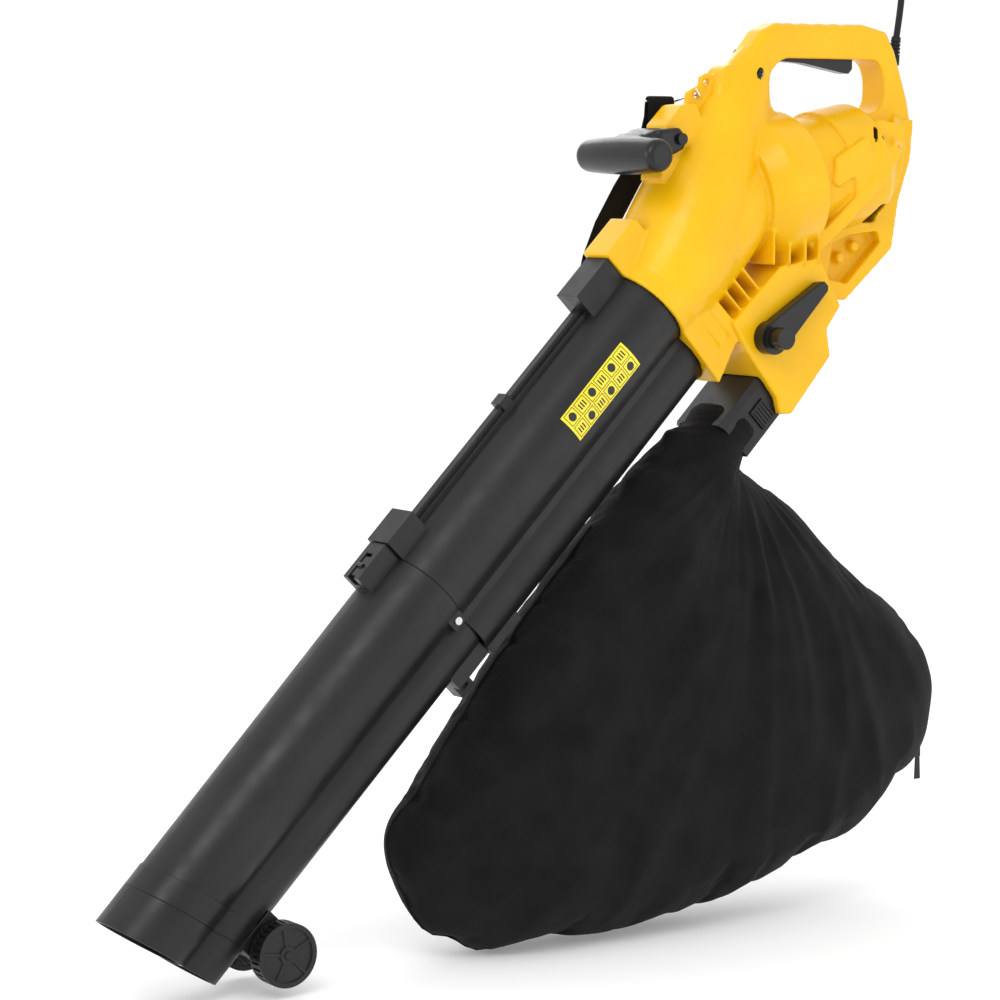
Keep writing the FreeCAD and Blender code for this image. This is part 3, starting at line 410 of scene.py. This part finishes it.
def make_bag():
    """The cloth bag: a pillow blown out by air, creased, with its sleeve round the port."""
    piece = bpy.data.objects.new("bag_cloth", mesh_from("bag_cloth", fill_bag))
    scene.collection.objects.link(piece)
    piece.modifiers.new("remesh", "REMESH").voxel_size = VOXEL
    melt = piece.modifiers.new("melt", "SMOOTH")
    melt.iterations = 8
    melt.factor = 0.6
    mesh = evaluated(piece)
    normals = [vertex.normal.copy() for vertex in mesh.vertices]
    for vertex, normal in zip(mesh.vertices, normals):
        vertex.co += normal * crease(vertex.co)
    rest = [vertex.co.copy() for vertex in mesh.vertices]
    port = at(*BAG_PORT)
    pinned = piece.vertex_groups.new(name="held")
    held = [v.index for v in mesh.vertices if (v.co - port).length < HELD_WITHIN]
    pinned.add(held, 1.0, "REPLACE")
    cloth_modifier = piece.modifiers.new("cloth", "CLOTH")
    settings = cloth_modifier.settings
    settings.effector_weights.gravity = 0
    settings.use_pressure = True
    settings.uniform_pressure_force = PRESSURE
    settings.shrink_min = -0.035
    settings.quality = 5
    settings.mass = 0.3
    settings.vertex_group_mass = "held"
    for frame_number in range(1, SETTLING_FRAMES + 1):
        scene.frame_set(frame_number)
    mesh = evaluated(piece)
    for vertex, start in zip(mesh.vertices, rest):
        moved = vertex.co - start
        if moved.length > SWELL_LIMIT:
            vertex.co = start + moved * (SWELL_LIMIT / moved.length)
    scene.frame_set(1)
    relax = piece.modifiers.new("relax", "SMOOTH")
    relax.iterations = 1
    relax.factor = 0.3
    piece.modifiers.new("fine", "SUBSURF").levels = 1
    mesh = evaluated(piece)
    smooth(mesh)
    mesh.materials.clear()
    mesh.materials.append(BAG_CLOTH)
    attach(piece, "blower")
    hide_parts("bag")
    return piece


def make_bag_seam(bag):
    """The bound seam along the bag's edge."""
    tree = BVHTree.FromObject(bag, bpy.context.evaluated_depsgraph_get())
    middle = at(BAG_MIDDLE[0], 0, BAG_MIDDLE[1])
    outline = []
    for point in rounded_loop(BAG_EDGE, 5):
        outside = middle + (at(point.x, 0, point.y) - middle) * 1.2
        hit = tree.ray_cast(outside, (middle - outside).normalized())[0]
        if hit is not None and point.y < 60:
            outline.append(hit)
    curve = bpy.data.curves.new("bag_seam", "CURVE")
    curve.dimensions = "3D"
    curve.bevel_depth = 0.0018
    curve.bevel_resolution = 3
    spline = curve.splines.new("POLY")
    spline.points.add(len(outline) - 1)
    for point, place in zip(spline.points, outline):
        point.co = (*place, 1)
    curve.materials.append(WEBBING)
    seam = bpy.data.objects.new("bag_seam", curve)
    scene.collection.objects.link(seam)
    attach(seam, "blower")


# ---------------------------------------------------------------- moulded parts


SHELL_VOXEL = 0.0018


def add_prism(bm, outline, low, high):
    """An outline in the XZ plane, drawn out from y = low to y = high."""
    add_rings(bm, [[at(x, y, z) for x, z in outline] for y in (low, high)])


def add_tube_box(bm, along, across, up):
    """A box in line with the big tube."""
    ring = [(along[0], up[0]), (along[1], up[0]), (along[1], up[1]), (along[0], up[1])]
    add_rings(bm, [[on_tube(s, y, n) for s, n in ring] for y in across])


def fill_housing_trim(bm):
    """The fan case's stepped rim, the rating plate, and the ribs under the fan case and neck."""
    side = FAN_AXIS.cross(Y)
    rim = []
    for along, radius in ((-32, 40), (-31.5, 66), (-12, 79.5), (-9, 80.3), (33, 76.5), (36, 72),
                          (36.5, 40)):
        centre = FAN_MIDDLE + FAN_AXIS * along
        rim.append([at(*(centre + (Y * math.cos(turn) + side * math.sin(turn)) * radius))
                    for turn in (math.tau * i / 72 for i in range(72))])
    add_rings(bm, rim)
    plate = [(478, 402), (486, 398), (531, 423), (530, 449), (522, 451), (480, 428)]
    add_prism(bm, plate, -66.5, -52)
    for number in range(6):
        along = 403 + 16 * number
        add_tube_box(bm, (along, along + 3), (-47, -14), (-76, -40))
    for x in (405, 426, 447, 466):
        add_prism(bm, [(x, 316), (x + 3, 318), (x + 3, 352), (x, 352)], -56, -15)


def soften(name, sources, body, material, voxel, passes, extra=None, shape=None):
    """One moulded form with rounded edges in place of CAD nodes, with extra(bm) added to it."""
    bm = bmesh.new()
    for source in sources:
        bm.from_mesh(nodes[source].data)
    if extra:
        added = mesh_from(name + "_trim", extra)
        bm.from_mesh(added)
    mesh = bpy.data.meshes.new(name)
    bm.to_mesh(mesh)
    bm.free()
    piece = bpy.data.objects.new(name, mesh)
    scene.collection.objects.link(piece)
    piece.modifiers.new("remesh", "REMESH").voxel_size = voxel
    melt = piece.modifiers.new("melt", "SMOOTH")
    melt.iterations = passes
    melt.factor = 0.5
    mesh = evaluated(piece)
    if shape:
        shape(mesh)
    smooth(mesh)
    mesh.materials.clear()
    mesh.materials.append(material)
    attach(piece, body)
    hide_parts(*sources)
    return piece


def shape_grip(mesh):
    """Presses the five finger scallops into the top of the grip."""
    for vertex in mesh.vertices:
        place = vertex.co / MM + GRIP_MIDDLE
        if 447 < place.x < 553 and place.z > 556 and abs(place.y) < 18:
            wave = (place.x - 447) / 106 * 5
            dip = math.sin(math.pi * (wave % 1)) ** 0.6
            side = 1 - (place.y / 19) ** 2
            vertex.co.z -= (1 - dip) * 2.4 * MM * side


HANDLE_BAR = (251, 431)


def shape_handle(mesh):
    """Swells the bar of the front handle in its middle, like a hand grip."""
    for vertex in mesh.vertices:
        place = vertex.co / MM + GRIP_MIDDLE
        out = Vector((place.x - HANDLE_BAR[0], 0, place.z - HANDLE_BAR[1]))
        if out.length < 21:
            share = max(0.0, 1 - ((place.y + 2) / 62) ** 2)
            vertex.co += out * (0.16 * share * MM)


# ---------------------------------------------------------------- strap and sticker

STRAP_ROUTE = [(317, 24.5, 462), (317, 24.4, 474), (317, 24.2, 486), (317, 25.0, 490.5),
               (317, 27.0, 492.2), (317, 29.2, 490.5), (317, 30.4, 486), (317, 32, 472),
               (315, 35.5, 455), (308, 40, 432), (296, 56, 400), (282, 70, 362), (272, 79, 325),
               (266, 83, 290), (262, 83.5, 250), (260, 83.5, 200), (259, 83.5, 150)]
STRAP_WIDTH = 34
STRAP_THICKNESS = 2.0


def fill_strap(bm):
    """Webbing that loops over the hook's bar, with rolled edges."""
    route = [Vector(place) for place in STRAP_ROUTE]
    profile = []
    for i in range(24):
        turn = math.tau * i / 24
        across = math.copysign(abs(math.cos(turn)) ** 0.35, math.cos(turn)) * STRAP_WIDTH / 2
        thick = math.copysign(abs(math.sin(turn)) ** 0.8, math.sin(turn)) * STRAP_THICKNESS / 2
        profile.append((across, thick))
    rings = []
    for index, place in enumerate(route):
        before, after = route[max(index - 1, 0)], route[min(index + 1, len(route) - 1)]
        heading = (after - before).normalized()
        out = X.cross(heading).normalized()
        rings.append([at(*(place + X * a + out * t)) for a, t in profile])
    add_rings(bm, rings)


def make_strap():
    mesh = mesh_from("strap_webbing", fill_strap)
    smooth(mesh, 50)
    strap = add_piece("strap_webbing", mesh, WEBBING, "strap", ["shoulder_strap"])


STICKER_RADIUS = 50.5
PRINT_LIFT = 0.14
PRINT_DEPTH = 0.12


def on_sticker(along, degrees, lift):
    turn = math.radians(degrees)
    radius = STICKER_RADIUS + lift
    return on_tube(along, -radius * math.sin(turn), radius * math.cos(turn))


def add_patch(bm, along, degrees, lift):
    """A thin curved rectangle that lies on the big tube."""
    steps = max(2, int((degrees[1] - degrees[0]) / 2))
    rings = []
    for step in range(steps + 1):
        turn = degrees[0] + (degrees[1] - degrees[0]) * step / steps
        low = lift - PRINT_DEPTH
        rings.append([on_sticker(along[0], turn, lift), on_sticker(along[1], turn, lift),
                      on_sticker(along[1], turn, low), on_sticker(along[0], turn, low)])
    add_rings(bm, rings)


def fill_sticker_marks(bm):
    """Plain frames, bars and dots: a generic print with no wording or pictures."""
    line = 0.7
    for column in range(6):
        start = 219 + 17 * column
        for row in range(2):
            low = 69 + 18 * row
            high = low + 16
            end = start + 15
            add_patch(bm, (start, end), (low, low + line), PRINT_LIFT)
            add_patch(bm, (start, end), (high - line, high), PRINT_LIFT)
            add_patch(bm, (start, start + line), (low + line, high - line), PRINT_LIFT)
            add_patch(bm, (end - line, end), (low + line, high - line), PRINT_LIFT)
            if (column + row) % 2:
                for bar in range(3):
                    foot = start + 3.2 + 3.4 * bar
                    add_patch(bm, (foot, foot + 1.6), (low + 4, high - 4), PRINT_LIFT)
            else:
                middle, wide = (low + high) / 2, 4.6
                for strip in range(9):
                    share = (strip - 4) / 4.5
                    half = wide * math.sqrt(1 - share * share)
                    centre = (start + end) / 2
                    turn = middle + share * wide / 0.88
                    add_patch(bm, (centre - half, centre + half), (turn - 0.6, turn + 0.6), PRINT_LIFT)


def make_sticker():
    mesh = mesh_from("sticker_marks", fill_sticker_marks)
    add_piece("sticker_marks", mesh, INK, "blower")


# ---------------------------------------------------------------- studio


def make_studio():
    """A pale floor, an even white surround and soft lamps."""
    scene.view_settings.view_transform = "Standard"
    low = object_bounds()[0]
    middle = Matrix.Translation((0, 0, low[2] - 0.002))
    floor = mesh_from("floor", lambda bm: bmesh.ops.create_circle(
        bm, cap_ends=True, segments=96, radius=14, matrix=middle))
    material, tree, shader = new_material("floor", (0.93, 0.93, 0.93), 0.9)
    shader.inputs["Emission Color"].default_value = (1, 1, 1, 1)
    shader.inputs["Emission Strength"].default_value = 0.16
    floor.materials.append(material)
    piece = bpy.data.objects.new("floor", floor)
    scene.collection.objects.link(piece)
    world = bpy.data.worlds.new("studio")
    world.use_nodes = True
    world.node_tree.nodes["Background"].inputs["Color"].default_value = (1, 1, 1, 1)
    world.node_tree.nodes["Background"].inputs["Strength"].default_value = 1.03
    scene.world = world
    target = Vector((-0.4, 0, -0.45))
    for name, offset, size, power in (
            ("key", (-1.6, -1.6, 1.9), 1.3, 21),
            ("side", (-2.2, 0.6, 0.6), 1.2, 10),
            ("fill", (1.4, -2.2, 0.3), 1.6, 5),
            ("back", (1.0, 2.0, 1.6), 1.5, 10)):
        light = bpy.data.lights.new(name, "AREA")
        light.size = size
        light.energy = power
        lamp = bpy.data.objects.new(name, light)
        scene.collection.objects.link(lamp)
        lamp.location = target + Vector(offset)
        lamp.rotation_euler = (-Vector(offset)).to_track_quat("-Z", "Y").to_euler()


# ---------------------------------------------------------------- the whole

make_camera()
make_cord()
dress_cad_nodes()
make_bag_seam(make_bag())
soften("housing_shell", ["housing_left", "housing_right"], "blower", YELLOW,
       SHELL_VOXEL, 3, fill_housing_trim, shape_grip)
soften("front_handle_shell", ["front_handle"], "front_handle", BLACK_GLOSS,
       SHELL_VOXEL, 8, shape=shape_handle)
make_strap()
make_sticker()
nodes["zip_pull"].data.materials[0] = BLACK_GLOSS
nodes["zip_slider"].data.materials[0] = BLACK_GLOSS
nodes["wheel_axle"].data.materials[0] = BLACK
make_studio()
